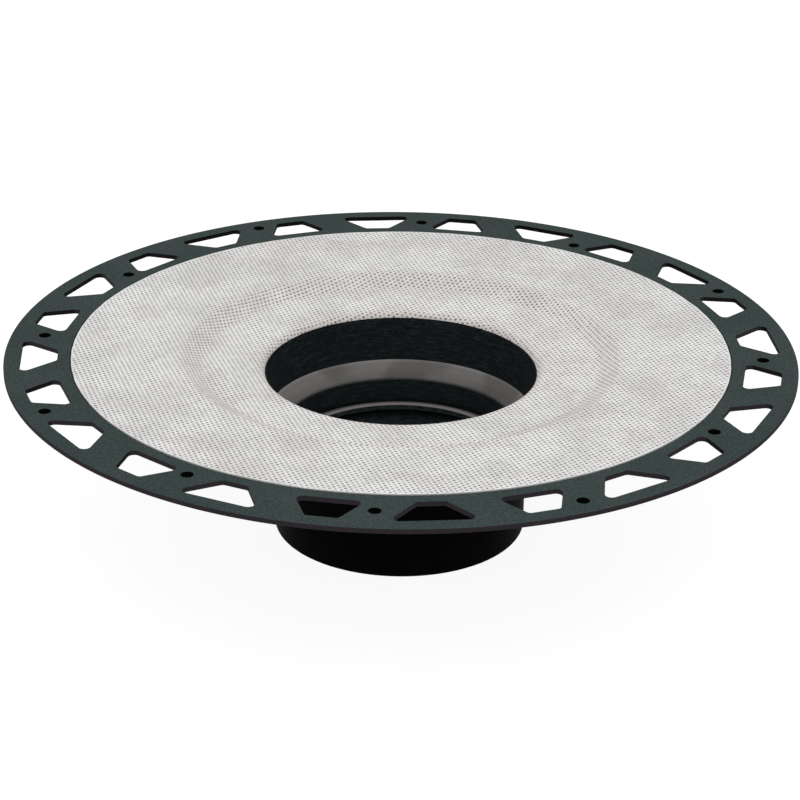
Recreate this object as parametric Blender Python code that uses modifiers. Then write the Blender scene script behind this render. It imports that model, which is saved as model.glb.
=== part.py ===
"""Bonding drain flange: a perforated rim and dished deck, a stepped throat, a pipe hub and an anchoring fleece.

Metres, +Z up. The origin is on the flange's axis, in the plane of the hub's bottom face. Depths are measured down
from the rim's top face. Every round piece is a closed outline of (radius, height) points turned about Z: the outline
runs out along the piece's top, down its outer side, back along its underside and up its inner side.
"""

import math

import bmesh
import bpy
from mathutils import Matrix, Vector

# Overall
RIM_TOP = 0.0728              # height of the rim's top face above the hub's bottom face
RIM_RADIUS = 0.1500
PLATE_THICKNESS = 0.0018
EDGE_BREAK = 0.0004           # chamfer on the rim's outer edges
FIT_GAP = 0.0003              # clearance between pieces that touch
TURN_STEPS = 72               # facets round every turned piece
ROUNDING_STEPS = 3            # facets round every rounded corner
SHARP_ANGLE = math.radians(28)
MERGE_DISTANCE = 0.00001

# Fleece and the dish that it lines: radius and depth of the fleece's face
FLEECE_RADIUS = 0.1249
FLEECE_THICKNESS = 0.0006
FLEECE_PROUD = 0.0002         # how far the fleece's outer edge stands above the rim
STEP_OUTER_RADIUS = 0.0830
STEP_OUTER_DEPTH = 0.0020
STEP_INNER_RADIUS = 0.0758
STEP_INNER_DEPTH = 0.0058
STEP_ROUNDING = 0.0030
LIP_RADIUS = 0.0545           # where the fleece starts to roll over into the throat
LIP_DEPTH = 0.0073
LIP_ROLL = 0.0026
LIP_END_ANGLE = math.radians(165)   # the roll's end, counted from +X round the roll's centre
FLEECE_LIP_STEPS = 4
RECESS_LAND = 0.0020          # width of the slope under the recess's outer edge

# Openings in the rim: a ring of trapezoids, alternately wide side outward and wide side inward
OPENING_PAIRS = 12
OUTER_CHORD = 0.1437
INNER_CHORD = 0.1300
WIDE_OUT_HALF_WIDTHS = (0.0048, 0.0160)    # at the inner chord, at the outer chord
WIDE_IN_HALF_WIDTHS = (0.0122, 0.0057)
WIDE_CORNER = 0.0022
NARROW_CORNER = 0.0016

# Screw holes, one in every second web: radius from the axis and angle, repeated every quarter turn
SCREW_HOLE_RADIUS = 0.0021
SCREW_HOLE_PLACES = ((0.1416, math.radians(21.0)), (0.1328, math.radians(52.3)), (0.1371, math.radians(81.9)))
SCREW_HOLE_REPEATS = 4
SCREW_HOLE_FACETS = 16

# Throat
BORE_TOP_RADIUS = 0.0518
BORE_TOP_DEPTH = 0.0097
BORE_RADIUS = 0.0509          # at the cone's top, a little less than at the bore's top
CONE_TOP_DEPTH = 0.0270
CONE_BOTTOM_DEPTH = 0.0333
CONE_ROUNDING = 0.0020
NECK_RADIUS = 0.0452
THROAT_WALL = 0.0032
OUTER_CONE_DROP = 0.0006      # how much lower the cone lies on the throat's outside
DECK_INNER_RADIUS = 0.0553
SHOULDER_RADIUS = 0.0640
SHOULDER_THICKNESS = 0.0022
GUSSETS = 12
GUSSET_THICKNESS = 0.0024
GUSSET_DEPTH = 0.0250
GUSSET_EMBED = 0.0015

# Hub
HUB_RADIUS = 0.0487
HUB_TOP_DEPTH = 0.0363
SPIGOT_RADIUS = 0.0470
STOP_TOP_DEPTH = 0.0431
STOP_BOTTOM_DEPTH = 0.0453
STOP_RADIUS = 0.04235
SOCKET_RADIUS = 0.0446
SOCKET_MOUTH_RADIUS = 0.0449
MOUTH_CHAMFER = 0.0007

CUT_CLEARANCE = 0.0050        # how far a cutter reaches past the plate on each side


def remove_startup_objects():
    for item in list(bpy.data.objects):
        bpy.data.objects.remove(item, do_unlink=True)


def new_collection(name):
    collection = bpy.data.collections.new(name)
    bpy.context.scene.collection.children.link(collection)
    return collection


def new_material(name, colour, roughness):
    material = bpy.data.materials.new(name)
    material.use_nodes = True
    shader = material.node_tree.nodes["Principled BSDF"]
    shader.inputs["Base Color"].default_value = (*colour, 1.0)
    shader.inputs["Roughness"].default_value = roughness
    shader.inputs["Metallic"].default_value = 0.0
    return material


def height(depth):
    """Height of a point that lies this far below the rim's top face."""
    return RIM_TOP - depth


def rounded(points, radii, steps, closed):
    """The polyline with each corner replaced by an arc tangent to both of its sides."""
    result = []
    count = len(points)
    for index, (corner, radius) in enumerate(zip(points, radii)):
        is_end = not closed and index in (0, count - 1)
        if radius == 0.0 or is_end:
            result.append(tuple(corner))
            continue
        here = Vector(corner)
        back = (Vector(points[index - 1]) - here).normalized()
        ahead = (Vector(points[(index + 1) % count]) - here).normalized()
        half_angle = back.angle(ahead) / 2
        centre = here + (back + ahead).normalized() * radius / math.sin(half_angle)
        first = here + back * radius / math.tan(half_angle) - centre
        last = here + ahead * radius / math.tan(half_angle) - centre
        sweep = first.angle(last)
        for step in range(steps + 1):
            share = step / steps
            start_weight = math.sin((1 - share) * sweep) / math.sin(sweep)
            end_weight = math.sin(share * sweep) / math.sin(sweep)
            result.append(tuple(centre + first * start_weight + last * end_weight))
    return result


def turned(name, outline, material, collection):
    """A closed (radius, height) outline turned about Z into one solid ring."""
    mesh = bpy.data.meshes.new(name)
    vertices = [(radius, 0.0, z) for radius, z in outline]
    edges = [(index, (index + 1) % len(outline)) for index in range(len(outline))]
    mesh.from_pydata(vertices, edges, [])
    piece = bpy.data.objects.new(name, mesh)
    collection.objects.link(piece)
    screw = piece.modifiers.new("turn", "SCREW")
    screw.axis = "Z"
    screw.steps = TURN_STEPS
    screw.render_steps = TURN_STEPS
    screw.use_merge_vertices = True
    screw.merge_threshold = MERGE_DISTANCE
    apply_modifiers(piece)
    piece.data.materials.append(material)
    return piece


def apply_modifiers(piece):
    depsgraph = bpy.context.evaluated_depsgraph_get()
    result = bpy.data.meshes.new_from_object(piece.evaluated_get(depsgraph))
    piece.modifiers.clear()
    piece.data = result


def shade_round(piece):
    piece.data.shade_smooth()
    piece.data.set_sharp_from_angle(angle=SHARP_ANGLE)


def add_boolean(piece, tool, operation):
    modifier = piece.modifiers.new(tool.name, "BOOLEAN")
    modifier.operation = operation
    modifier.solver = "EXACT"
    modifier.object = tool


def hide_tool(tool):
    tool.hide_render = True
    tool.display_type = "WIRE"


def face_depth(radius):
    """Depth of the fleece's face, on the straight runs between the dish's corners."""
    corners = (
        (LIP_RADIUS, LIP_DEPTH),
        (STEP_INNER_RADIUS, STEP_INNER_DEPTH),
        (STEP_OUTER_RADIUS, STEP_OUTER_DEPTH),
        (FLEECE_RADIUS, -FLEECE_PROUD),
    )
    for (near, near_depth), (far, far_depth) in zip(corners, corners[1:]):
        if radius <= far or far == FLEECE_RADIUS:
            share = (radius - near) / (far - near)
            return near_depth + share * (far_depth - near_depth)


def dish_line(first_radius, last_radius, below):
    """The dish between two radii, from the inside out, this far below the fleece's face."""
    radii = (first_radius, STEP_INNER_RADIUS, STEP_OUTER_RADIUS, last_radius)
    points = [(radius, height(face_depth(radius) + below)) for radius in radii]
    return rounded(points, (0.0, STEP_ROUNDING, STEP_ROUNDING, 0.0), ROUNDING_STEPS, False)


def lip_arc(below, steps):
    """The roll at the throat's lip, from its lower end up to the dish, this far inside the fleece's face."""
    centre_z = height(LIP_DEPTH + LIP_ROLL)
    radius = LIP_ROLL - below
    arc = []
    for step in range(steps + 1):
        angle = LIP_END_ANGLE + (math.pi / 2 - LIP_END_ANGLE) * step / steps
        arc.append((LIP_RADIUS + radius * math.cos(angle), centre_z + radius * math.sin(angle)))
    return arc


def anchoring_fleece(material, collection):
    """The net-like fleece: a thin ring that lines the dish and rolls over the throat's lip."""
    face = lip_arc(0.0, FLEECE_LIP_STEPS) + dish_line(LIP_RADIUS, FLEECE_RADIUS, 0.0)[1:]
    back = lip_arc(FLEECE_THICKNESS, FLEECE_LIP_STEPS)
    back += dish_line(LIP_RADIUS, FLEECE_RADIUS, FLEECE_THICKNESS)[1:]
    piece = turned("anchoring_fleece", face + back[::-1], material, collection)
    shade_round(piece)


def trapezoid(half_widths, angle):
    """Outline of one rim opening, with tight corners on its narrow side and round ones on its wide side."""
    inner_half, outer_half = half_widths
    corners = [
        (INNER_CHORD, -inner_half),
        (OUTER_CHORD, -outer_half),
        (OUTER_CHORD, outer_half),
        (INNER_CHORD, inner_half),
    ]
    inner_corner = WIDE_CORNER if inner_half > outer_half else NARROW_CORNER
    outer_corner = NARROW_CORNER if inner_half > outer_half else WIDE_CORNER
    radii = (inner_corner, outer_corner, outer_corner, inner_corner)
    outline = rounded(corners, radii, ROUNDING_STEPS, True)
    turn = Matrix.Rotation(angle, 2)
    return [turn @ Vector(point) for point in outline]


def opening_cutter(collection):
    """All the rim's trapezoids as flat filled outlines, extruded through the plate."""
    outlines = []
    for pair in range(OPENING_PAIRS):
        angle = 2 * math.pi * pair / OPENING_PAIRS
        outlines.append(trapezoid(WIDE_OUT_HALF_WIDTHS, angle))
        outlines.append(trapezoid(WIDE_IN_HALF_WIDTHS, angle + math.pi / OPENING_PAIRS))
    curve = bpy.data.curves.new("rim_openings", "CURVE")
    curve.dimensions = "2D"
    curve.fill_mode = "BOTH"
    curve.extrude = CUT_CLEARANCE
    for outline in outlines:
        spline = curve.splines.new("POLY")
        spline.points.add(len(outline) - 1)
        spline.use_cyclic_u = True
        for point, (x, y) in zip(spline.points, outline):
            point.co = (x, y, 0.0, 1.0)
    drawn = bpy.data.objects.new("rim_opening_curves", curve)
    drawn.location.z = RIM_TOP
    collection.objects.link(drawn)
    cutter = curve_to_mesh(drawn, "rim_openings", collection)
    hide_tool(cutter)
    return cutter


def curve_to_mesh(drawn, name, collection):
    """The curve's solid as a mesh object in the same place, with its caps welded on."""
    depsgraph = bpy.context.evaluated_depsgraph_get()
    mesh = bpy.data.meshes.new_from_object(drawn.evaluated_get(depsgraph))
    solid = bmesh.new()
    solid.from_mesh(mesh)
    bmesh.ops.remove_doubles(solid, verts=solid.verts, dist=MERGE_DISTANCE)
    bmesh.ops.recalc_face_normals(solid, faces=solid.faces)
    solid.to_mesh(mesh)
    solid.free()
    piece = bpy.data.objects.new(name, mesh)
    piece.matrix_world = drawn.matrix_world
    collection.objects.link(piece)
    bpy.data.objects.remove(drawn, do_unlink=True)
    return piece


def screw_hole_cutter(collection):
    """Plain round pins for the screw holes."""
    pins = bmesh.new()
    for repeat in range(SCREW_HOLE_REPEATS):
        for radius, angle in SCREW_HOLE_PLACES:
            turn = Matrix.Rotation(angle + 2 * math.pi * repeat / SCREW_HOLE_REPEATS, 4, "Z")
            place = turn @ Matrix.Translation((radius, 0.0, RIM_TOP))
            bmesh.ops.create_cone(
                pins,
                cap_ends=True,
                segments=SCREW_HOLE_FACETS,
                radius1=SCREW_HOLE_RADIUS,
                radius2=SCREW_HOLE_RADIUS,
                depth=2 * CUT_CLEARANCE,
                matrix=place,
            )
    mesh = bpy.data.meshes.new("screw_holes")
    pins.to_mesh(mesh)
    pins.free()
    cutter = bpy.data.objects.new("screw_holes", mesh)
    collection.objects.link(cutter)
    hide_tool(cutter)
    return cutter


def flange_deck(material, collection, cutters):
    """The rim and the dished deck: a recess for the fleece on top, the dish followed underneath."""
    seat = FLEECE_THICKNESS + FIT_GAP
    underside = seat + PLATE_THICKNESS
    recess_radius = FLEECE_RADIUS + FIT_GAP
    top = dish_line(DECK_INNER_RADIUS, recess_radius, seat)
    rim = [
        (recess_radius, height(0.0)),
        (RIM_RADIUS - EDGE_BREAK, height(0.0)),
        (RIM_RADIUS, height(EDGE_BREAK)),
        (RIM_RADIUS, height(PLATE_THICKNESS - EDGE_BREAK)),
        (RIM_RADIUS - EDGE_BREAK, height(PLATE_THICKNESS)),
        (recess_radius + RECESS_LAND, height(PLATE_THICKNESS)),
    ]
    bottom = dish_line(DECK_INNER_RADIUS, recess_radius - RECESS_LAND, underside)[::-1]
    piece = turned("flange_deck", top + rim + bottom, material, collection)
    add_boolean(piece, opening_cutter(cutters), "DIFFERENCE")
    add_boolean(piece, screw_hole_cutter(cutters), "DIFFERENCE")
    apply_modifiers(piece)
    shade_round(piece)


def gusset_ring(collection):
    """Triangular gussets between the throat's wall and its shoulder, evenly spaced round the axis."""
    wall = BORE_RADIUS + THROAT_WALL - GUSSET_EMBED
    top = height(shoulder_depth(SHOULDER_RADIUS) + SHOULDER_THICKNESS / 2)
    outline = [(wall, height(GUSSET_DEPTH)), (SHOULDER_RADIUS - EDGE_BREAK, top), (wall, top)]
    curve = bpy.data.curves.new("gusset", "CURVE")
    curve.dimensions = "2D"
    curve.fill_mode = "BOTH"
    curve.extrude = GUSSET_THICKNESS / 2
    spline = curve.splines.new("POLY")
    spline.points.add(len(outline) - 1)
    spline.use_cyclic_u = True
    for point, (radius, z) in zip(spline.points, outline):
        point.co = (radius, z, 0.0, 1.0)
    drawn = bpy.data.objects.new("gusset_curve", curve)
    collection.objects.link(drawn)
    plate = curve_to_mesh(drawn, "gussets", collection)
    upright = Matrix.Rotation(math.pi / 2, 4, "X")
    ring = bmesh.new()
    for gusset in range(GUSSETS):
        plate_copy = plate.data.copy()
        plate_copy.transform(Matrix.Rotation(2 * math.pi * (gusset + 0.5) / GUSSETS, 4, "Z") @ upright)
        ring.from_mesh(plate_copy)
    ring.to_mesh(plate.data)
    ring.free()
    hide_tool(plate)
    return plate


def shoulder_depth(radius):
    """Depth of the shoulder's top, which follows the deck's underside."""
    return face_depth(radius) + FLEECE_THICKNESS + PLATE_THICKNESS + 2 * FIT_GAP


def drain_throat(material, collection, cutters):
    """The stepped throat: a lip under the fleece's roll, a straight bore, a cone seat, and a neck with a spigot."""
    seat = FLEECE_THICKNESS + FIT_GAP
    wall = BORE_TOP_RADIUS + THROAT_WALL
    inside = rounded(
        [
            (NECK_RADIUS, height(STOP_TOP_DEPTH - FIT_GAP)),
            (NECK_RADIUS, height(CONE_BOTTOM_DEPTH)),
            (BORE_RADIUS, height(CONE_TOP_DEPTH)),
            (BORE_TOP_RADIUS, height(BORE_TOP_DEPTH)),
        ],
        (0.0, CONE_ROUNDING, 0.0, 0.0),
        ROUNDING_STEPS,
        False,
    )
    top = lip_arc(seat, ROUNDING_STEPS) + [(wall, height(LIP_DEPTH + seat))]
    outside = [
        (wall, height(shoulder_depth(wall))),
        (SHOULDER_RADIUS, height(shoulder_depth(SHOULDER_RADIUS))),
        (SHOULDER_RADIUS, height(shoulder_depth(SHOULDER_RADIUS) + SHOULDER_THICKNESS)),
        (wall, height(shoulder_depth(wall) + SHOULDER_THICKNESS)),
        (BORE_RADIUS + THROAT_WALL, height(CONE_TOP_DEPTH + OUTER_CONE_DROP)),
        (HUB_RADIUS, height(CONE_BOTTOM_DEPTH + OUTER_CONE_DROP)),
        (HUB_RADIUS, height(HUB_TOP_DEPTH - FIT_GAP)),
        (SPIGOT_RADIUS, height(HUB_TOP_DEPTH - FIT_GAP)),
        (SPIGOT_RADIUS, height(STOP_TOP_DEPTH - FIT_GAP)),
    ]
    piece = turned("drain_throat", top + outside + inside, material, collection)
    add_boolean(piece, gusset_ring(cutters), "UNION")
    apply_modifiers(piece)
    shade_round(piece)


def outlet_hub(material, collection):
    """The pipe hub: a sleeve round the throat's spigot, a stop ring, and the socket for the pipe."""
    sleeve_bore = SPIGOT_RADIUS + FIT_GAP
    outline = [
        (sleeve_bore, height(HUB_TOP_DEPTH)),
        (HUB_RADIUS, height(HUB_TOP_DEPTH)),
        (HUB_RADIUS, MOUTH_CHAMFER),
        (HUB_RADIUS - MOUTH_CHAMFER, 0.0),
        (SOCKET_MOUTH_RADIUS + MOUTH_CHAMFER, 0.0),
        (SOCKET_MOUTH_RADIUS, MOUTH_CHAMFER),
        (SOCKET_RADIUS, height(STOP_BOTTOM_DEPTH)),
        (STOP_RADIUS, height(STOP_BOTTOM_DEPTH)),
        (STOP_RADIUS, height(STOP_TOP_DEPTH)),
        (sleeve_bore, height(STOP_TOP_DEPTH)),
    ]
    piece = turned("outlet_hub", outline, material, collection)
    shade_round(piece)


def build():
    remove_startup_objects()
    parts = new_collection("bonding_drain_flange")
    cutters = new_collection("cutters")
    deck_abs = new_material("deck_abs", (0.048, 0.065, 0.063), 0.55)
    throat_abs = new_material("throat_abs", (0.012, 0.014, 0.015), 0.38)
    hub_abs = new_material("hub_abs", (0.004, 0.004, 0.004), 0.50)
    fleece = new_material("fleece", (0.62, 0.61, 0.60), 0.95)
    flange_deck(deck_abs, parts, cutters)
    drain_throat(throat_abs, parts, cutters)
    outlet_hub(hub_abs, parts)
    anchoring_fleece(fleece, parts)


build()
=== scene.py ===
"""Visual model of a bonding drain flange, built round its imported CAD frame. Metres, +Z up.

Depths are measured down from the rim's top face, as in the CAD. Every round piece is a closed outline of
(radius, height) points turned about Z. The outline runs out along the top, down the outer side, back underneath
and up the inner side.
"""

import math

import bpy
from mathutils import Matrix, Vector, noise

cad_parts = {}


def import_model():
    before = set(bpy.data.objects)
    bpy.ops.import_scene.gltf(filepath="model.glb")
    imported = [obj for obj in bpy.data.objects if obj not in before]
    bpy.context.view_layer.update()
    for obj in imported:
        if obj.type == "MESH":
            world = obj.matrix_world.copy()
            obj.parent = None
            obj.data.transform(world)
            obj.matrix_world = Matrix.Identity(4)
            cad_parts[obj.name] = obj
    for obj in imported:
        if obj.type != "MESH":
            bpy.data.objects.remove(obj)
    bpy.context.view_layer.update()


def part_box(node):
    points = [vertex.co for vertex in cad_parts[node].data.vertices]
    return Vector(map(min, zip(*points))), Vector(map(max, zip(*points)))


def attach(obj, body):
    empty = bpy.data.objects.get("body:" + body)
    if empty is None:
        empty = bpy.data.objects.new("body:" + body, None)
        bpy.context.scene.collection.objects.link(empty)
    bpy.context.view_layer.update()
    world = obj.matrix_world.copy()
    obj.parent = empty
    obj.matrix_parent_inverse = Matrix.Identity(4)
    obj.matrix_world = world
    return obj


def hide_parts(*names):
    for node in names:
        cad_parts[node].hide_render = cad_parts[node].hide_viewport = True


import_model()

RIM_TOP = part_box("flange_deck")[1].z
HUB_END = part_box("outlet_hub")[0].z
MM = 0.001

# Rim
RIM_RADIUS = 0.1500
PLATE_THICKNESS = 0.0018
RIM_EDGE = 0.0002
RIM_EDGE_RUN = 0.0010                                 # how far in from the rim's edge its faces are drawn flat
FIT_GAP = 0.0003                                      # between pieces that are bonded in the real object

# Fleece and the dish under it
FLEECE_RADIUS = 0.1249
FLEECE_THICKNESS = 0.0006
FLEECE_PROUD = 0.0002
STEP_OUTER_RADIUS = 0.0830
STEP_OUTER_DEPTH = 0.0020
STEP_INNER_RADIUS = 0.0758
STEP_INNER_DEPTH = 0.0058
STEP_ROUNDING = 0.0030
LIP_RADIUS = 0.0545
LIP_DEPTH = 0.0073
LIP_ROLL = 0.0026
LIP_END_ANGLE = math.radians(165)
RECESS_LAND = 0.0020

# Openings through the rim
OPENING_PAIRS = 12
OUTER_CHORD = 0.1437
INNER_CHORD = 0.1300
WIDE_OUT_HALF_WIDTHS = (0.0048, 0.0160)
WIDE_IN_HALF_WIDTHS = (0.0122, 0.0057)
WIDE_CORNER = 0.0022
NARROW_CORNER = 0.0016
OPENING_EDGE = 0.00016
EDGE_TURNS = (20, 45, 70, 90)                         # degrees round a cut edge at which it gets a level
EDGE_LEAD_IN = 3                                      # how far the cutter widens above a cut edge, in edge radii
SCREW_HOLE_RADIUS = 0.0021
SCREW_HOLE_EDGE = 0.00025
SCREW_HOLE_TAPER = 0.0009                             # how much smaller the hole's radius is at the bottom
SCREW_HOLE_PLACES = ((0.1416, math.radians(21.0)), (0.1328, math.radians(52.3)), (0.1371, math.radians(81.9)))
SCREW_HOLE_REPEATS = 4
CUT_CLEARANCE = 0.0020                                # how far a cutter reaches past the plate's faces

# Throat
BORE_TOP_RADIUS = 0.0518
BORE_TOP_DEPTH = 0.0097
BORE_RADIUS = 0.0509
CONE_TOP_DEPTH = 0.0270
CONE_BOTTOM_DEPTH = 0.0333
CONE_ROUNDING = 0.0020
CONE_EDGE = 0.00025
NECK_RADIUS = 0.0452
THROAT_WALL = 0.0032
OUTER_CONE_DROP = 0.0006
DECK_INNER_RADIUS = 0.0553
SHOULDER_RADIUS = 0.0640
SHOULDER_THICKNESS = 0.0022
SHOULDER_EDGE = 0.0004
SHOULDER_FILLET = 0.0008
OUTER_CONE_ROUNDING = 0.0010
GUSSETS = 12
GUSSET_THICKNESS = 0.0024
GUSSET_DEPTH = 0.0250
GUSSET_EMBED = 0.0015                                 # how far a gusset reaches into the throat's wall
GUSSET_SETBACK = 0.0002                               # how far a gusset stays in from the shoulder's edge

# Hub
HUB_RADIUS = 0.0487
HUB_EDGE = 0.0002
HUB_TOP_DEPTH = 0.0363
SPIGOT_RADIUS = 0.0470
STOP_TOP_DEPTH = 0.0431
STOP_BOTTOM_DEPTH = 0.0453
STOP_RADIUS = 0.04235
STOP_EDGE = 0.0005
SOCKET_RADIUS = 0.0446
SOCKET_MOUTH_RADIUS = 0.0449
MOUTH_ROUNDING = 0.0007

# Where the colours of the throat and the hub change, in millimetres: depths, and one radius for the outside
SEAT_TOP = CONE_TOP_DEPTH / MM
SEAT_FADE = CONE_BOTTOM_DEPTH / MM - 1.2
SEAT_END = CONE_BOTTOM_DEPTH / MM + 0.5
OUTSIDE_STARTS = BORE_TOP_RADIUS / MM + 0.5
LEDGE_TOP = STOP_TOP_DEPTH / MM
STOP_END = STOP_BOTTOM_DEPTH / MM

# Fleece surface: a net of pinholes on two families of rows, each with a spacing and a direction across its rows
NET_ROWS = ((1.716, math.radians(13.1)), (1.733, math.radians(127.2)))
NET_STRETCH = 0.000233                                # change of the net's pitch along Y, for each millimetre
WAVE_SIZES = ((0.030, 0.00012), (0.009, 0.00005))     # length and height of the fleece's waves
EDGE_FRAY = ((0.006, 0.00012), (0.0022, 0.00006))     # length and depth of the fleece edge's raggedness

# Fineness of the meshes
TURN_STEPS = 288
FLEECE_TURN_STEPS = 540
FLEECE_RUN_STEP = 0.0009
HOLE_STEPS = 36
FLOOR_STEPS = 96
DISH_CORNER_STEPS = 10
LIP_STEPS = 8
OPENING_CORNER_STEPS = 7
SEAT_CORNER_STEPS = 10
OUTSIDE_CORNER_STEPS = 4
EDGE_STEPS = 5
SHARP_DEGREES = 32                                    # edges that turn more than this stay sharp
FLEECE_SHARP_DEGREES = 40

# Studio
FLOOR_RADIUS = 30.0
FLOOR_GLOW = 0.92
WORLD_LIGHT = 0.66
SOFTBOX_PLACE = (0.0, -0.4, 1.8)
SOFTBOX_SIZE = 1.6
SOFTBOX_POWER = 14.8

# Camera, solved from the outlines of the rim, the fleece, the throat and the hub in the photograph
CAMERA_AZIMUTH = math.radians(-94.68)                 # direction from the flange's axis to the camera
CAMERA_PITCH = math.radians(24.463)
CAMERA_DISTANCE = 0.95532
CAMERA_ROLL = math.radians(0.645)
AIM_SIDE = -0.00023
AIM_HEIGHT = 0.05090
LENS = 111.762
SENSOR = 36.0


# ---------------------------------------------------------------- outlines

def height(depth):
    return RIM_TOP - depth


def rounded(points, radii, steps, closed):
    """The polyline with each corner replaced by an arc tangent to both of its sides."""
    result = []
    count = len(points)
    for index, (corner, radius) in enumerate(zip(points, radii)):
        is_end = not closed and index in (0, count - 1)
        if radius == 0.0 or is_end:
            result.append(tuple(corner))
            continue
        here = Vector(corner)
        back = (Vector(points[index - 1]) - here).normalized()
        ahead = (Vector(points[(index + 1) % count]) - here).normalized()
        half_angle = back.angle(ahead) / 2
        centre = here + (back + ahead).normalized() * radius / math.sin(half_angle)
        first = here + back * radius / math.tan(half_angle) - centre
        last = here + ahead * radius / math.tan(half_angle) - centre
        sweep = first.angle(last)
        for step in range(steps + 1):
            share = step / steps
            start_weight = math.sin((1 - share) * sweep) / math.sin(sweep)
            end_weight = math.sin(share * sweep) / math.sin(sweep)
            result.append(tuple(centre + first * start_weight + last * end_weight))
    return result


def face_depth(radius):
    """Depth of the fleece's face, on the straight runs between the dish's corners."""
    corners = (
        (LIP_RADIUS, LIP_DEPTH),
        (STEP_INNER_RADIUS, STEP_INNER_DEPTH),
        (STEP_OUTER_RADIUS, STEP_OUTER_DEPTH),
        (FLEECE_RADIUS, -FLEECE_PROUD),
    )
    for (near, near_depth), (far, far_depth) in zip(corners, corners[1:]):
        if radius <= far or far == FLEECE_RADIUS:
            share = (radius - near) / (far - near)
            return near_depth + share * (far_depth - near_depth)


def dish_line(first_radius, last_radius, below):
    """The dish between two radii, from the inside out, this far below the fleece's face."""
    radii = (first_radius, STEP_INNER_RADIUS, STEP_OUTER_RADIUS, last_radius)
    points = [(radius, height(face_depth(radius) + below)) for radius in radii]
    return rounded(points, (0.0, STEP_ROUNDING, STEP_ROUNDING, 0.0), DISH_CORNER_STEPS, False)


def lip_arc(below):
    """The roll at the throat's lip, from its lower end up to the dish, this far inside the fleece's face."""
    centre_z = height(LIP_DEPTH + LIP_ROLL)
    radius = LIP_ROLL - below
    arc = []
    for step in range(LIP_STEPS + 1):
        angle = LIP_END_ANGLE + (math.pi / 2 - LIP_END_ANGLE) * step / LIP_STEPS
        arc.append((LIP_RADIUS + radius * math.cos(angle), centre_z + radius * math.sin(angle)))
    return arc


def shoulder_depth(radius):
    """Depth of the top of the throat's shoulder, which follows the dish's underside with a gap."""
    return face_depth(radius) + FLEECE_THICKNESS + PLATE_THICKNESS + 2 * FIT_GAP


def resampled(line, step):
    """The open polyline with its long runs cut into pieces of about one step."""
    result = [line[0]]
    for start, end in zip(line, line[1:]):
        span = (Vector(end) - Vector(start)).length
        pieces = max(1, round(span / step))
        for piece in range(1, pieces + 1):
            result.append(tuple(Vector(start).lerp(Vector(end), piece / pieces)))
    return result


# ---------------------------------------------------------------- meshes

def new_object(name, vertices, faces, material):
    mesh = bpy.data.meshes.new(name)
    mesh.from_pydata(vertices, [], faces)
    mesh.validate()
    piece = bpy.data.objects.new(name, mesh)
    bpy.context.scene.collection.objects.link(piece)
    if material:
        mesh.materials.append(material)
    return piece


def turned(name, outline, steps, material):
    """A closed (radius, height) outline turned about Z into one solid ring."""
    count = len(outline)
    vertices = []
    for step in range(steps):
        angle = 2 * math.pi * step / steps
        vertices += [(r * math.cos(angle), r * math.sin(angle), z) for r, z in outline]
    faces = []
    for step in range(steps):
        here = step * count
        there = (step + 1) % steps * count
        for index in range(count):
            after = (index + 1) % count
            faces.append((here + index, here + after, there + after, there + index))
    return new_object(name, vertices, faces, material)


def shade(piece, degrees):
    piece.data.shade_smooth()
    piece.data.set_sharp_from_angle(angle=math.radians(degrees))


def combine(piece, tool, operation):
    """Cuts or joins the tool into the piece and deletes the tool."""
    modifier = piece.modifiers.new(tool.name, "BOOLEAN")
    modifier.operation = operation
    modifier.solver = "MANIFOLD"
    modifier.object = tool
    depsgraph = bpy.context.evaluated_depsgraph_get()
    result = bpy.data.meshes.new_from_object(piece.evaluated_get(depsgraph))
    piece.modifiers.clear()
    piece.data = result
    bpy.data.objects.remove(tool, do_unlink=True)


def trapezoid(half_widths, angle):
    """Outline of one rim opening, with tight corners on its narrow side and round ones on its wide side."""
    inner_half, outer_half = half_widths
    corners = [
        (INNER_CHORD, -inner_half),
        (OUTER_CHORD, -outer_half),
        (OUTER_CHORD, outer_half),
        (INNER_CHORD, inner_half),
    ]
    inner_corner = WIDE_CORNER if inner_half > outer_half else NARROW_CORNER
    outer_corner = NARROW_CORNER if inner_half > outer_half else WIDE_CORNER
    radii = (inner_corner, outer_corner, outer_corner, inner_corner)
    outline = rounded(corners, radii, OPENING_CORNER_STEPS, True)
    turn = Matrix.Rotation(angle, 2)
    return [turn @ Vector(point) for point in outline]


def circle(centre, radius, steps):
    turns = [2 * math.pi * step / steps for step in range(steps)]
    return [centre + radius * Vector((math.cos(turn), math.sin(turn))) for turn in turns]


def widened(outline, distance):
    """The counter-clockwise outline moved outward by this distance."""
    result = []
    for index, here in enumerate(outline):
        before = (here - outline[index - 1]).normalized()
        after = (outline[(index + 1) % len(outline)] - here).normalized()
        first = Vector((before.y, -before.x))
        second = Vector((after.y, -after.x))
        out = (first + second).normalized()
        result.append(here + out * distance / max(0.5, out.dot(first)))
    return result


def edge_levels(edge):
    """Levels of a cutter that rounds the edge of the top face, from the top down.

    Each is an offset outward and a height above the plate's middle. Above the edge the cutter widens along the
    edge's own slope, and then goes straight up.
    """
    half = PLATE_THICKNESS / 2
    levels = []
    for degrees in EDGE_TURNS:
        turn = math.radians(degrees)
        levels.append((edge * (1 - math.sin(turn)), half - edge * (1 - math.cos(turn))))
    offset, z = levels[0]
    lead_in = EDGE_LEAD_IN * edge
    top = [(offset + lead_in, z + lead_in * math.tan(math.radians(EDGE_TURNS[0])))] + levels
    return [(offset + lead_in, half + CUT_CLEARANCE)] + top


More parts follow.
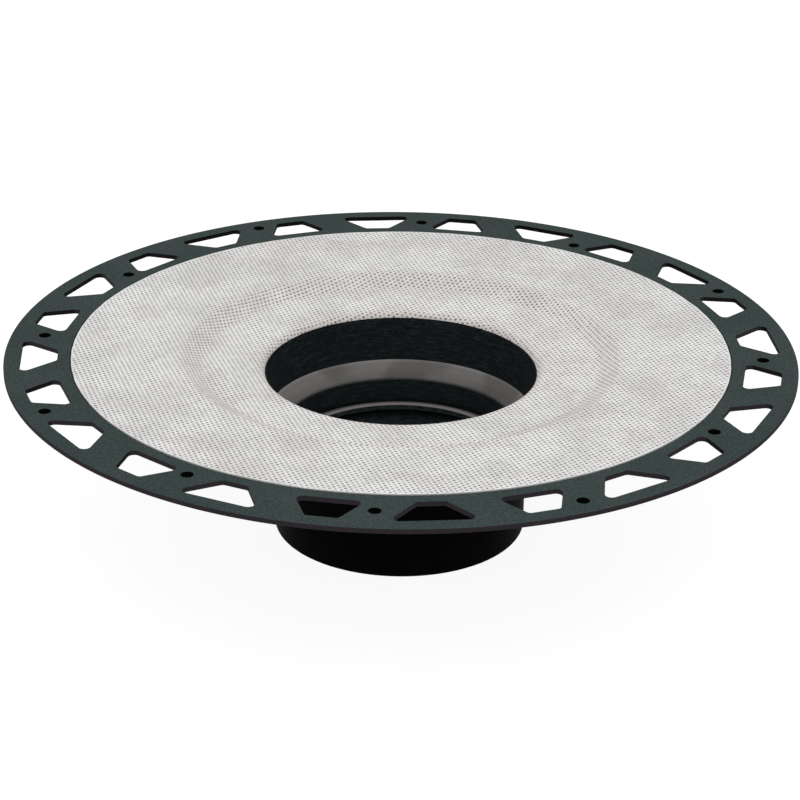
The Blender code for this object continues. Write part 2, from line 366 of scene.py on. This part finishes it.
def screw_hole_centres():
    """The middles of the screw holes: the same three places in every quarter turn."""
    centres = []
    for repeat in range(SCREW_HOLE_REPEATS):
        for radius, angle in SCREW_HOLE_PLACES:
            turn = angle + 2 * math.pi * repeat / SCREW_HOLE_REPEATS
            centres.append(Vector((radius * math.cos(turn), radius * math.sin(turn))))
    return centres


def rim_cutter():
    """All the rim's openings and screw holes as one tool. The screw holes narrow toward the bottom."""
    opening_levels = edge_levels(OPENING_EDGE)
    opening_levels += [(offset, -z) for offset, z in reversed(opening_levels)]
    hole_levels = edge_levels(SCREW_HOLE_EDGE)
    hole_levels += [(-SCREW_HOLE_TAPER, -PLATE_THICKNESS / 2 - below) for below in (0.0, CUT_CLEARANCE)]
    cuts = []
    for pair in range(OPENING_PAIRS):
        angle = 2 * math.pi * pair / OPENING_PAIRS
        cuts.append((trapezoid(WIDE_OUT_HALF_WIDTHS, angle), opening_levels))
        cuts.append((trapezoid(WIDE_IN_HALF_WIDTHS, angle + math.pi / OPENING_PAIRS), opening_levels))
    for centre in screw_hole_centres():
        cuts.append((circle(centre, SCREW_HOLE_RADIUS, HOLE_STEPS), hole_levels))
    middle = height(PLATE_THICKNESS / 2)
    vertices = []
    faces = []
    for outline, levels in cuts:
        count = len(outline)
        first = len(vertices)
        for offset, z in levels:
            vertices += [(point.x, point.y, middle + z) for point in widened(outline, offset)]
        faces.append([first + index for index in range(count)])
        for level in range(len(levels) - 1):
            upper = first + level * count
            lower = upper + count
            for index in range(count):
                after = (index + 1) % count
                faces.append((upper + index, lower + index, lower + after, upper + after))
        last = first + (len(levels) - 1) * count
        faces.append([last + index for index in reversed(range(count))])
    return new_object("rim_cutter", vertices, faces, None)


def gusset_ring():
    """Triangular gussets between the throat's wall and its shoulder, evenly spaced round the axis."""
    wall = BORE_RADIUS + THROAT_WALL - GUSSET_EMBED
    top = height(shoulder_depth(SHOULDER_RADIUS) + SHOULDER_THICKNESS / 2)
    outline = [(wall, height(GUSSET_DEPTH)), (SHOULDER_RADIUS - GUSSET_SETBACK, top), (wall, top)]
    half = GUSSET_THICKNESS / 2
    vertices = []
    faces = []
    for gusset in range(GUSSETS):
        turn = Matrix.Rotation(2 * math.pi * (gusset + 0.5) / GUSSETS, 3, "Z")
        first = len(vertices)
        for side in (-half, half):
            vertices += [turn @ Vector((r, side, z)) for r, z in outline]
        faces += [(first, first + 1, first + 2), (first + 5, first + 4, first + 3)]
        for index in range(3):
            after = (index + 1) % 3
            faces.append((first + index, first + 3 + index, first + 3 + after, first + after))
    return new_object("gussets", vertices, faces, None)


# ---------------------------------------------------------------- material nodes

FLAT = (1.0, 1.0, 0.0)                                # keeps X and Y and drops Z
MIX_SHARE, MIX_FIRST, MIX_SECOND, MIX_RESULT = 0, 6, 7, 2   # the Mix node's sockets for colours


def add(tree, kind, sockets=None, **settings):
    """A new shader node. A socket given for an input is linked, and any other value is set on it."""
    node = tree.nodes.new("ShaderNode" + kind)
    for key, value in settings.items():
        setattr(node, key, value)
    for key, value in (sockets or {}).items():
        if isinstance(value, bpy.types.NodeSocket):
            tree.links.new(value, node.inputs[key])
        else:
            node.inputs[key].default_value = value
    return node


def maths(tree, operation, first, second=0.0, third=0.0):
    return add(tree, "Math", {0: first, 1: second, 2: third}, operation=operation).outputs[0]


def dot(tree, vector, axis):
    return add(tree, "VectorMath", {0: vector, 1: axis}, operation="DOT_PRODUCT").outputs["Value"]


def stretched(tree, vector, factors):
    """The vector with X, Y and Z each multiplied by its own factor."""
    return add(tree, "VectorMath", {0: vector, 1: factors}, operation="MULTIPLY").outputs[0]


def vector_length(tree, vector):
    return add(tree, "VectorMath", {0: vector}, operation="LENGTH").outputs["Value"]


def mapped(tree, value, low, high, to_low=0.0, to_high=1.0):
    """The value carried from one range to another, with an eased start and end, and held beyond them."""
    sockets = {"Value": value, "From Min": low, "From Max": high, "To Min": to_low, "To Max": to_high}
    return add(tree, "MapRange", sockets, interpolation_type="SMOOTHSTEP").outputs["Result"]


def grain(tree, place, size, detail=2.0, roughness=0.5):
    """Noise from 0 to 1 whose patches are about this many millimetres wide."""
    sockets = {"Vector": place, "Scale": 1.0 / size, "Detail": detail, "Roughness": roughness}
    return add(tree, "TexNoise", sockets).outputs["Fac"]


def blend_colour(tree, share, first, second):
    """The first colour where the share is 0 and the second where it is 1."""
    sockets = {MIX_SHARE: share, MIX_FIRST: first, MIX_SECOND: second}
    return add(tree, "Mix", sockets, data_type="RGBA").outputs[MIX_RESULT]


def scaled_colour(tree, colour, factor):
    """The colour with its brightness multiplied."""
    grey = add(tree, "CombineColor", {0: factor, 1: factor, 2: factor}).outputs[0]
    sockets = {MIX_SHARE: 1.0, MIX_FIRST: colour, MIX_SECOND: grey}
    return add(tree, "Mix", sockets, data_type="RGBA", blend_type="MULTIPLY").outputs[MIX_RESULT]


def rgb(*colour):
    return (*colour, 1.0)


def new_material(name):
    """A material, its nodes, its shader, and the place on the object in millimetres."""
    material = bpy.data.materials.new(name)
    material.use_nodes = True
    tree = material.node_tree
    shader = tree.nodes["Principled BSDF"]
    place = add(tree, "TexCoord").outputs["Object"]
    millimetres = add(tree, "VectorMath", {0: place, "Scale": 1.0 / MM}, operation="SCALE").outputs[0]
    return material, tree, shader, millimetres


def finish_surface(tree, shader, colour, roughness, specular, relief, relief_height):
    tree.links.new(colour, shader.inputs["Base Color"])
    tree.links.new(roughness, shader.inputs["Roughness"])
    bump = add(tree, "Bump", {"Height": relief, "Distance": relief_height, "Strength": 1.0})
    tree.links.new(bump.outputs[0], shader.inputs["Normal"])
    shader.inputs["Specular IOR Level"].default_value = specular


def upward(tree):
    """How far the surface faces up: 1 on level tops, 0 on walls, -1 on level undersides."""
    normal = add(tree, "NewGeometry").outputs["Normal"]
    return add(tree, "SeparateXYZ", {0: normal}).outputs["Z"]


def outward(tree, place, radius):
    """How far the surface faces away from the axis: 1 on outer walls, 0 on level faces, -1 in bores."""
    normal = add(tree, "NewGeometry").outputs["Normal"]
    return maths(tree, "DIVIDE", dot(tree, stretched(tree, place, FLAT), normal), radius)


def is_inside(tree, place, radius, limit):
    """1 on surfaces within this radius that face the axis or straight up or down, and 0 on the outside."""
    faces_in = mapped(tree, outward(tree, place, radius), 0.1, 0.3, 1.0, 0.0)
    return maths(tree, "MULTIPLY", faces_in, mapped(tree, radius, limit, limit + 0.4, 1.0, 0.0))


def place_parts(tree, place):
    """The radius from the flange's axis and the depth below the rim's top face, both in millimetres."""
    radius = vector_length(tree, stretched(tree, place, FLAT))
    depth = maths(tree, "SUBTRACT", RIM_TOP / MM, add(tree, "SeparateXYZ", {0: place}).outputs["Z"])
    return radius, depth


def screw_hole_shade_factor(tree, place):
    """Painted shade for the screw holes: 1 away from them, and 0 on their walls and their rounded edges, which it
    turns black.
    """
    flat = stretched(tree, place, FLAT)
    nearest = RIM_RADIUS / MM
    for centre in screw_hole_centres():
        middle = (centre.x / MM, centre.y / MM, 0.0)
        distance = add(tree, "VectorMath", {0: flat, 1: middle}, operation="DISTANCE").outputs["Value"]
        nearest = maths(tree, "MINIMUM", distance, nearest)
    reach = SCREW_HOLE_RADIUS / MM
    return mapped(tree, nearest, reach + 0.15, reach + 0.35)


def rim_material():
    """Grained green-grey ABS, with brown-black cut walls. Painted shade darkens the walls that face the axis and
    turns the screw holes' walls and edges black.
    """
    material, tree, shader, place = new_material("grained_green_grey_abs")
    fine = grain(tree, place, 0.7, 3.0, 0.65)
    specks = grain(tree, place, 1.7, 2.0, 0.6)
    broad = grain(tree, place, 22.0, 2.0)
    patches = mapped(tree, broad, 0.35, 0.65)
    top = blend_colour(tree, patches, rgb(0.0352, 0.0512, 0.0492), rgb(0.0410, 0.0564, 0.0544))
    top = scaled_colour(tree, top, mapped(tree, fine, 0.3, 0.7, 0.64, 1.36))
    top = scaled_colour(tree, top, mapped(tree, specks, 0.3, 0.7, 0.90, 1.10))
    patches = grain(tree, place, 1.6)
    walls = blend_colour(tree, patches, rgb(0.0190, 0.0152, 0.0192), rgb(0.0284, 0.0234, 0.0278))
    radius, _ = place_parts(tree, place)
    # Painted shade: cut walls that face the axis are darkened, down to 0.22 of their colour.
    walls = scaled_colour(tree, walls, mapped(tree, outward(tree, place, radius), -0.7, 0.1, 0.22, 1.0))
    is_face = mapped(tree, maths(tree, "ABSOLUTE", upward(tree)), 0.55, 0.95)
    colour = blend_colour(tree, is_face, walls, top)
    # Painted shade: the screw holes' walls and rounded edges are turned black.
    colour = scaled_colour(tree, colour, screw_hole_shade_factor(tree, place))
    rough = mapped(tree, fine, 0.2, 0.8, 0.60, 0.74)
    finish_surface(tree, shader, colour, rough, 0.03, fine, 0.04 * MM)
    return material


def throat_material():
    """Near-black ABS: bluish turning lines in the bore, a grey turned cone seat, and plain black outside. Painted
    shade darkens the bore deeper down; the seat has a painted highlight along its top edge, painted shade toward
    its bottom, and patches that are partly painted sheen.
    """
    material, tree, shader, place = new_material("turned_black_abs")
    radius, depth = place_parts(tree, place)
    lines = grain(tree, stretched(tree, place, (0.14, 0.14, 1.15)), 0.8, 3.0, 0.65)
    breaks = grain(tree, stretched(tree, place, (0.35, 0.35, 1.0)), 1.1)
    fine = grain(tree, place, 0.6, 3.0, 0.6)
    line = mapped(tree, lines, 0.44, 0.70)
    line = maths(tree, "MULTIPLY", line, mapped(tree, breaks, 0.35, 0.65, 0.25, 1.0))
    specks = mapped(tree, fine, 0.3, 0.7)
    wall = blend_colour(tree, specks, rgb(0.0036, 0.0052, 0.0057), rgb(0.0145, 0.0192, 0.0205))
    wall = blend_colour(tree, line, wall, rgb(0.0255, 0.0335, 0.0372))
    # Painted shade: the bore's wall darkens deeper down, from 0.95 to 0.76 of its colour.
    wall = scaled_colour(tree, wall, mapped(tree, depth, SEAT_TOP, SEAT_END, 0.95, 0.76))
    inside = is_inside(tree, place, radius, OUTSIDE_STARTS)
    wall = blend_colour(tree, inside, rgb(0.0009, 0.0009, 0.0010), wall)
    # The seat's brighter and darker patches are partly random tone and partly painted sheen.
    patches = mapped(tree, grain(tree, place, 16.0, 1.0), 0.4, 0.6)
    seat = blend_colour(tree, patches, rgb(0.130, 0.126, 0.122), rgb(0.184, 0.178, 0.172))
    seat = scaled_colour(tree, seat, mapped(tree, fine, 0.25, 0.75, 0.93, 1.07))
    # Painted highlight along the seat's top edge, and painted shade toward its bottom.
    seat = scaled_colour(tree, seat, mapped(tree, depth, SEAT_TOP, SEAT_TOP + 1.2, 1.35, 1.0))
    seat = scaled_colour(tree, seat, mapped(tree, depth, SEAT_TOP + 2.0, SEAT_FADE, 1.0, 0.80))
    below_top = mapped(tree, depth, SEAT_TOP - 0.15, SEAT_TOP + 0.05)
    above_neck = mapped(tree, depth, SEAT_FADE, SEAT_END, 1.0, 0.0)
    is_seat = maths(tree, "MULTIPLY", maths(tree, "MULTIPLY", below_top, above_neck), inside)
    colour = blend_colour(tree, is_seat, wall, seat)
    rough = mapped(tree, lines, 0.3, 0.7, 0.48, 0.62)
    relief = maths(tree, "MULTIPLY_ADD", fine, 0.3, lines)
    finish_surface(tree, shader, colour, rough, 0.04, relief, 0.03 * MM)
    return material


def hub_material():
    """Black ABS with faint turning lines in the socket. Painted light turns the stop's top a paler grey, with
    painted shade toward the wall, and painted shadow darkens the socket's wall just under the stop.
    """
    material, tree, shader, place = new_material("moulded_black_abs")
    radius, depth = place_parts(tree, place)
    fine = grain(tree, place, 0.6, 3.0)
    cloud = grain(tree, place, 14.0, 2.0)
    shell = blend_colour(tree, cloud, rgb(0.0006, 0.0006, 0.0007), rgb(0.0013, 0.0013, 0.0015))
    around = stretched(tree, place, (0.25, 0.25, 1.0))
    lines = mapped(tree, grain(tree, around, 0.8, 3.0, 0.65), 0.3, 0.7)
    socket = blend_colour(tree, lines, rgb(0.0036, 0.0051, 0.0056), rgb(0.0170, 0.0222, 0.0240))
    # Painted shadow: the socket's wall goes almost black just under the stop and brightens further down; the
    # stop's own bore is made 1.5 times brighter.
    stop_wall = mapped(tree, depth, STOP_END - 0.1, STOP_END + 0.1, 1.5, 0.0)
    shadow_below_stop = mapped(tree, depth, STOP_END + 0.9, STOP_END + 6.0, 0.08, 1.35)
    socket = scaled_colour(tree, socket, maths(tree, "MAXIMUM", stop_wall, shadow_below_stop))
    inside = is_inside(tree, place, radius, SPIGOT_RADIUS / MM - 0.2)
    body = blend_colour(tree, inside, shell, socket)
    # Painted light: the stop's upward top face is a paler grey, brightest at its inner edge and darkened by
    # painted shade toward the wall.
    patches = grain(tree, place, 4.0)
    ledge_painted_light = blend_colour(tree, patches, rgb(0.170, 0.161, 0.157), rgb(0.215, 0.205, 0.200))
    ledge_shade_toward_wall = mapped(tree, radius, STOP_RADIUS / MM + 0.9, NECK_RADIUS / MM, 1.0, 0.35)
    ledge_painted_light = scaled_colour(tree, ledge_painted_light, ledge_shade_toward_wall)
    ledge_light_mask = maths(tree, "MULTIPLY", mapped(tree, upward(tree), 0.2, 0.8), inside)
    ledge_light_mask = maths(tree, "MULTIPLY", ledge_light_mask, mapped(tree, depth, LEDGE_TOP - 0.5, LEDGE_TOP - 0.3))
    colour = blend_colour(tree, ledge_light_mask, body, ledge_painted_light)
    rough = mapped(tree, fine, 0.2, 0.8, 0.50, 0.66)
    finish_surface(tree, shader, colour, rough, 0.01, fine, 0.03 * MM)
    return material


def shifted(tree, place, size, reach):
    """The place moved by smooth noise of this size, by up to about half of this reach in each direction."""
    wander = add(tree, "TexNoise", {"Vector": place, "Scale": 1.0 / size, "Detail": 1.0}).outputs["Color"]
    wander = add(tree, "VectorMath", {0: wander, 1: (0.5, 0.5, 0.5)}, operation="SUBTRACT").outputs[0]
    wander = add(tree, "VectorMath", {0: wander, "Scale": reach}, operation="SCALE").outputs[0]
    return add(tree, "VectorMath", {0: place, 1: wander}, operation="ADD").outputs[0]


def laid_flat(tree, place, radius, depth):
    """The place on the fleece before it was pressed into the dish and rolled over the lip."""
    step_width = (STEP_OUTER_RADIUS - STEP_INNER_RADIUS) / MM
    step_fall = (STEP_INNER_DEPTH - STEP_OUTER_DEPTH) / MM
    spare = math.hypot(step_width, step_fall) / step_width - 1.0
    over_step = maths(tree, "MAXIMUM", maths(tree, "SUBTRACT", radius, STEP_INNER_RADIUS / MM), 0.0)
    over_step = maths(tree, "MINIMUM", over_step, step_width)
    drop = maths(tree, "SUBTRACT", (LIP_DEPTH + LIP_ROLL) / MM, depth)
    inward = maths(tree, "MAXIMUM", maths(tree, "SUBTRACT", LIP_RADIUS / MM, radius), 0.0)
    run = maths(tree, "MULTIPLY", maths(tree, "ARCTAN2", inward, drop), LIP_ROLL / MM)
    flat_radius = maths(tree, "SUBTRACT", maths(tree, "ADD", radius, inward), run)
    flat_radius = maths(tree, "MULTIPLY_ADD", over_step, spare, flat_radius)
    share = maths(tree, "DIVIDE", flat_radius, radius)
    share = add(tree, "CombineXYZ", {0: share, 1: share, 2: 0.0}).outputs[0]
    return stretched(tree, place, share)


def net_places(tree, place):
    """The fleece's net of pinholes at a place laid flat.

    Gives the distance to the nearest pinhole in millimetres, how far the place is between the rows of each family
    (-0.5 to 0.5), and a pair of numbers that is different for each pinhole.
    """
    along = add(tree, "SeparateXYZ", {0: place}).outputs["Y"]
    stretch = maths(tree, "MULTIPLY_ADD", along, NET_STRETCH, 1.0)
    stretch = add(tree, "CombineXYZ", {0: 1.0, 1: stretch, 2: 1.0}).outputs[0]
    moved = stretched(tree, place, stretch)
    moved = shifted(tree, moved, 70.0, 1.6)
    moved = shifted(tree, moved, 1.8, 0.20)
    across = [Vector((math.cos(turn), math.sin(turn))) / spacing for spacing, turn in NET_ROWS]
    steps = Matrix((across[0], across[1])).inverted()
    shares = []
    counts = []
    for axis in across:
        rows = dot(tree, moved, (axis.x, axis.y, 0.0))
        shares.append(maths(tree, "SUBTRACT", maths(tree, "FRACT", rows), 0.5))
        counts.append(maths(tree, "FLOOR", rows))
    offset = []
    for row in steps:
        first = maths(tree, "MULTIPLY", shares[0], row[0])
        offset.append(maths(tree, "MULTIPLY_ADD", shares[1], row[1], first))
    both = add(tree, "CombineXYZ", {0: offset[0], 1: offset[1], 2: 0.0}).outputs[0]
    distance = vector_length(tree, both)
    number = add(tree, "CombineXYZ", {0: counts[0], 1: counts[1], 2: 0.0}).outputs[0]
    return distance, shares, number


def fleece_material():
    """Off-white non-woven fleece: rows of pinholes, pale threads between the rows, fibres, faint stains and a
    warm tint on the lip's roll, with painted shade on the dish's step.
    """
    material, tree, shader, place = new_material("pinholed_white_fleece")
    radius, depth = place_parts(tree, place)
    flat = laid_flat(tree, place, radius, depth)
    distance, shares, number = net_places(tree, flat)
    chance = add(tree, "TexWhiteNoise", {"Vector": number}, noise_dimensions="3D").outputs["Value"]
    strength = mapped(tree, chance, 0.0, 1.0, 0.70, 1.0)
    edge = mapped(tree, radius, FLEECE_RADIUS / MM - 0.9, FLEECE_RADIUS / MM - 0.4, 1.0, 0.0)
    strength = maths(tree, "MULTIPLY", strength, edge)
    hole = maths(tree, "MULTIPLY", mapped(tree, distance, 0.28, 0.65, 1.0, 0.0), strength)
    thread, cross = [mapped(tree, maths(tree, "ABSOLUTE", share), 0.30, 0.5) for share in shares]
    fibre = grain(tree, place, 0.5, 3.0, 0.6)
    tuft = grain(tree, place, 3.2, 3.0, 0.65)
    cloud = mapped(tree, grain(tree, place, 20.0, 3.0), 0.35, 0.65)
    stain = mapped(tree, grain(tree, place, 17.0, 2.0), 0.50, 0.72, 0.0, 0.30)
    lip = mapped(tree, radius, LIP_RADIUS / MM - 1.2, LIP_RADIUS / MM + 1.6, 0.45, 0.0)
    step_starts, step_ends = STEP_INNER_RADIUS / MM, STEP_OUTER_RADIUS / MM
    # Painted shade on the dish's step: a warm brown band across the step.
    step = mapped(tree, radius, step_ends - 1.0, step_ends + 3.0, 1.0, 0.0)
    step = maths(tree, "MULTIPLY", step, mapped(tree, radius, step_starts - 3.0, step_starts + 1.0))
    step = maths(tree, "MULTIPLY", step, 0.32)
    cloth = blend_colour(tree, cloud, rgb(0.672, 0.665, 0.657), rgb(0.760, 0.755, 0.747))
    stains_lip_tint_and_step_shade = maths(tree, "MAXIMUM", stain, maths(tree, "MAXIMUM", lip, step))
    cloth = blend_colour(tree, stains_lip_tint_and_step_shade, cloth, rgb(0.590, 0.520, 0.485))
    bright = mapped(tree, fibre, 0.2, 0.8, 0.86, 1.10)
    bright = maths(tree, "MULTIPLY", bright, mapped(tree, tuft, 0.3, 0.7, 0.93, 1.05))
    bright = maths(tree, "MULTIPLY_ADD", thread, 0.05, bright)
    bright = maths(tree, "MULTIPLY_ADD", cross, 0.06, bright)
    cloth = scaled_colour(tree, cloth, bright)
    colour = blend_colour(tree, hole, cloth, rgb(0.165, 0.152, 0.144))
    relief = maths(tree, "MULTIPLY_ADD", fibre, 0.35, maths(tree, "MULTIPLY", thread, 0.35))
    relief = maths(tree, "SUBTRACT", relief, hole)
    rough = mapped(tree, fibre, 0.2, 0.8, 0.85, 1.0)
    finish_surface(tree, shader, colour, rough, 0.10, relief, 0.12 * MM)
    shader.inputs["Sheen Weight"].default_value = 0.10
    shader.inputs["Sheen Roughness"].default_value = 0.5
    return material


def floor_material():
    """A matt floor that glows a little, so that it comes out white like the photograph's background."""
    material, tree, shader, place = new_material("pale_floor")
    tone = blend_colour(tree, grain(tree, place, 60.0), rgb(0.17, 0.17, 0.17), rgb(0.18, 0.18, 0.18))
    tree.links.new(tone, shader.inputs["Base Color"])
    shader.inputs["Roughness"].default_value = 0.9
    shader.inputs["Specular IOR Level"].default_value = 0.0
    shader.inputs["Emission Color"].default_value = rgb(1.0, 1.0, 1.0)
    shader.inputs["Emission Strength"].default_value = FLOOR_GLOW
    return material


# ---------------------------------------------------------------- pieces

def place_piece(piece, node):
    """Puts a piece on the part's one body, in place of its CAD node."""
    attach(piece, "root")
    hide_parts(node)


def rim_and_dish():
    """The rim and the dished deck: a recess for the fleece on top, the dish followed underneath."""
    seat = FLEECE_THICKNESS + FIT_GAP
    underside = seat + PLATE_THICKNESS
    recess_radius = FLEECE_RADIUS + FIT_GAP
    top = dish_line(DECK_INNER_RADIUS, recess_radius, seat)
    rim = [
        (recess_radius, height(OPENING_EDGE)),
        (recess_radius + OPENING_EDGE, height(0.0)),
    ]
    rim += rounded(
        [
            (RIM_RADIUS - RIM_EDGE_RUN, height(0.0)),
            (RIM_RADIUS, height(0.0)),
            (RIM_RADIUS, height(PLATE_THICKNESS)),
            (RIM_RADIUS - RIM_EDGE_RUN, height(PLATE_THICKNESS)),
        ],
        (0.0, RIM_EDGE, RIM_EDGE, 0.0),
        EDGE_STEPS,
        False,
    )
    rim.append((recess_radius + RECESS_LAND, height(PLATE_THICKNESS)))
    bottom = dish_line(DECK_INNER_RADIUS, recess_radius - RECESS_LAND, underside)[::-1]
    piece = turned("rim_and_dish", top + rim + bottom, TURN_STEPS, rim_material())
    combine(piece, rim_cutter(), "DIFFERENCE")
    shade(piece, SHARP_DEGREES)
    flat_normals = piece.modifiers.new("face_weighted_normals", "WEIGHTED_NORMAL")
    flat_normals.keep_sharp = True
    place_piece(piece, "flange_deck")


def stepped_throat():
    """A lip under the fleece's roll, a bore that narrows slightly, a cone seat, and a neck with a spigot."""
    seat = FLEECE_THICKNESS + FIT_GAP
    wall = BORE_TOP_RADIUS + THROAT_WALL
    inside = rounded(
        [
            (NECK_RADIUS, height(STOP_TOP_DEPTH - FIT_GAP)),
            (NECK_RADIUS, height(CONE_BOTTOM_DEPTH)),
            (BORE_RADIUS, height(CONE_TOP_DEPTH)),
            (BORE_TOP_RADIUS, height(BORE_TOP_DEPTH)),
        ],
        (0.0, CONE_ROUNDING, CONE_EDGE, 0.0),
        SEAT_CORNER_STEPS,
        False,
    )
    top = lip_arc(seat) + [(wall, height(LIP_DEPTH + seat))]
    outside = [
        (wall, height(shoulder_depth(wall))),
        (SHOULDER_RADIUS, height(shoulder_depth(SHOULDER_RADIUS))),
        (SHOULDER_RADIUS, height(shoulder_depth(SHOULDER_RADIUS) + SHOULDER_THICKNESS)),
        (wall, height(shoulder_depth(wall) + SHOULDER_THICKNESS)),
        (BORE_RADIUS + THROAT_WALL, height(CONE_TOP_DEPTH + OUTER_CONE_DROP)),
        (HUB_RADIUS, height(CONE_BOTTOM_DEPTH + OUTER_CONE_DROP)),
        (HUB_RADIUS, height(HUB_TOP_DEPTH - FIT_GAP)),
        (SPIGOT_RADIUS, height(HUB_TOP_DEPTH - FIT_GAP)),
        (SPIGOT_RADIUS, height(STOP_TOP_DEPTH - FIT_GAP)),
    ]
    roundings = (0.0, SHOULDER_EDGE, SHOULDER_EDGE, SHOULDER_FILLET)
    roundings += (OUTER_CONE_ROUNDING, OUTER_CONE_ROUNDING, HUB_EDGE, 0.0, 0.0)
    outside = rounded(outside, roundings, OUTSIDE_CORNER_STEPS, False)
    piece = turned("stepped_throat", top + outside + inside, TURN_STEPS, throat_material())
    combine(piece, gusset_ring(), "UNION")
    shade(piece, SHARP_DEGREES)
    place_piece(piece, "drain_throat")


def pipe_hub():
    """A sleeve round the throat's spigot, a stop ring, and the socket for the pipe."""
    sleeve_bore = SPIGOT_RADIUS + FIT_GAP
    outline = rounded(
        [
            (sleeve_bore, height(HUB_TOP_DEPTH)),
            (HUB_RADIUS, height(HUB_TOP_DEPTH)),
            (HUB_RADIUS, HUB_END),
            (SOCKET_MOUTH_RADIUS, HUB_END),
            (SOCKET_RADIUS, height(STOP_BOTTOM_DEPTH)),
            (STOP_RADIUS, height(STOP_BOTTOM_DEPTH)),
            (STOP_RADIUS, height(STOP_TOP_DEPTH)),
            (sleeve_bore, height(STOP_TOP_DEPTH)),
        ],
        (HUB_EDGE, HUB_EDGE, MOUTH_ROUNDING, MOUTH_ROUNDING, 0.0, HUB_EDGE, STOP_EDGE, 0.0),
        EDGE_STEPS,
        True,
    )
    piece = turned("pipe_hub", outline, TURN_STEPS, hub_material())
    shade(piece, SHARP_DEGREES)
    place_piece(piece, "outlet_hub")


def wave(point, sizes):
    """Smooth noise of several lengths at a point."""
    return sum(depth * noise.noise(point / length) for length, depth in sizes)


def fleece_lining():
    """A thin ring laid in the dish and rolled over the throat's lip, slightly wavy, with a ragged outer edge."""
    face = resampled(lip_arc(0.0) + dish_line(LIP_RADIUS, FLEECE_RADIUS, 0.0)[1:], FLEECE_RUN_STEP)
    back = lip_arc(FLEECE_THICKNESS) + dish_line(LIP_RADIUS, FLEECE_RADIUS, FLEECE_THICKNESS)[1:]
    piece = turned("fleece_lining", face + back[::-1], FLEECE_TURN_STEPS, fleece_material())
    shade(piece, FLEECE_SHARP_DEGREES)
    for vertex in piece.data.vertices:
        here = vertex.co.copy()
        radius = here.xy.length
        lift = wave(here, WAVE_SIZES)
        inner_share = min(1.0, max(0.0, (radius - LIP_RADIUS) / (4 * LIP_ROLL)))
        here.z += max(-FIT_GAP / 2, lift) * inner_share
        edge_share = max(0.0, 1.0 - (FLEECE_RADIUS - radius) / (2 * FLEECE_RUN_STEP))
        out = Vector((vertex.co.x, vertex.co.y, 0.0)).normalized()
        here += out * edge_share * (wave(out * FLEECE_RADIUS, EDGE_FRAY) - EDGE_FRAY[0][1] / 2)
        vertex.co = here
    place_piece(piece, "anchoring_fleece")


# ---------------------------------------------------------------- studio

def floor():
    outline = circle(Vector((0.0, 0.0)), FLOOR_RADIUS, FLOOR_STEPS)
    vertices = [(point.x, point.y, HUB_END) for point in outline]
    plane = new_object("studio_floor", vertices, [list(range(FLOOR_STEPS))], floor_material())


def world():
    surroundings = bpy.data.worlds.new("studio_air")
    surroundings.use_nodes = True
    background = surroundings.node_tree.nodes["Background"]
    background.inputs["Color"].default_value = rgb(1.0, 1.0, 1.0)
    background.inputs["Strength"].default_value = WORLD_LIGHT
    bpy.context.scene.world = surroundings


def softbox(name, place, aim, size, power):
    light = bpy.data.lights.new(name, "AREA")
    light.shape = "DISK"
    light.size = size
    light.energy = power
    lamp = bpy.data.objects.new(name, light)
    lamp.location = place
    lamp.rotation_euler = (Vector(aim) - Vector(place)).to_track_quat("-Z", "Y").to_euler()
    bpy.context.scene.collection.objects.link(lamp)


def camera():
    data = bpy.data.cameras.new("photo_view")
    data.sensor_width = SENSOR
    data.lens = LENS
    data.clip_start = 0.05
    data.clip_end = 100.0
    to_camera = Vector((math.cos(CAMERA_AZIMUTH), math.sin(CAMERA_AZIMUTH), 0.0))
    sideways = Vector((-to_camera.y, to_camera.x, 0.0))
    aim = sideways * AIM_SIDE + Vector((0.0, 0.0, AIM_HEIGHT))
    back = to_camera * math.cos(CAMERA_PITCH) + Vector((0.0, 0.0, math.sin(CAMERA_PITCH)))
    upright = back.cross(sideways)
    right = sideways * math.cos(CAMERA_ROLL) + upright * math.sin(CAMERA_ROLL)
    up = back.cross(right)
    view = bpy.data.objects.new("photo_view", data)
    rotation = Matrix((right, up, back)).transposed().to_4x4()
    view.matrix_world = Matrix.Translation(aim + back * CAMERA_DISTANCE) @ rotation
    bpy.context.scene.collection.objects.link(view)
    bpy.context.scene.camera = view


rim_and_dish()
stepped_throat()
pipe_hub()
fleece_lining()
floor()
world()
softbox("overhead", SOFTBOX_PLACE, (0.0, 0.0, 0.0), SOFTBOX_SIZE, SOFTBOX_POWER)
camera()
bpy.context.scene.view_settings.view_transform = "Standard"
